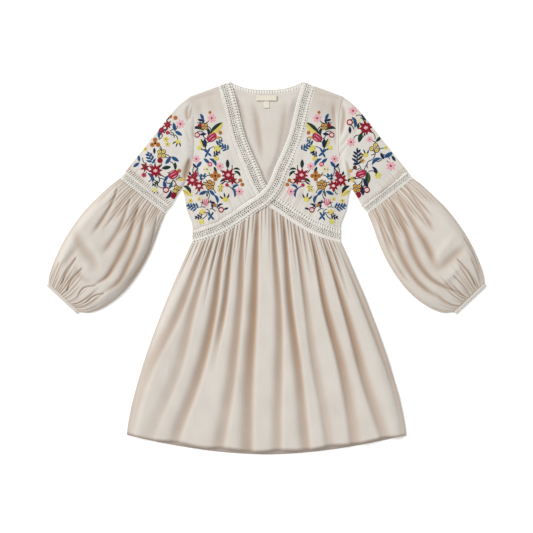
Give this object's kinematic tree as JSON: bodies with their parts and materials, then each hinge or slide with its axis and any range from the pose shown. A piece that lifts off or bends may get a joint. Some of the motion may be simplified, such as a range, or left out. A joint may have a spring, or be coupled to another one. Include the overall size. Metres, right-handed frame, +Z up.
{
  "type": "embroidered dress",
  "caption": "Short high-waisted dress laid flat, with a lace-trimmed V neck, embroidered top, balloon sleeves and a gathered skirt.",
  "frame": {"origin": "centre of the bounding box in plan, on the surface that the dress lies on", "axes": "+X towards the wearer's left sleeve, +Y towards the neck, +Z up out of the front"},
  "size_m": [1.063, 0.9, 0.0204],
  "materials": {
    "viscose_crepe": "matt, soft woven",
    "cotton_lace": "matt lace",
    "label_tape": "smooth woven tape"
  },
  "bodies": {
    "root": {"bodice_back": "viscose_crepe", "bodice_front_left": "viscose_crepe", "bodice_front_right": "viscose_crepe", "skirt_front": "viscose_crepe", "skirt_back": "viscose_crepe", "sleeve_upper_left": "viscose_crepe", "sleeve_upper_right": "viscose_crepe", "sleeve_lower_left": "viscose_crepe", "sleeve_lower_right": "viscose_crepe", "cuff_left": "viscose_crepe", "cuff_right": "viscose_crepe", "lace_front_over": "cotton_lace", "lace_front_under": "cotton_lace", "lace_back_neck": "cotton_lace", "lace_sleeve_left": "cotton_lace", "lace_sleeve_right": "cotton_lace", "neck_label": "label_tape", "size_label": "label_tape"}
  },
  "joints": []
}
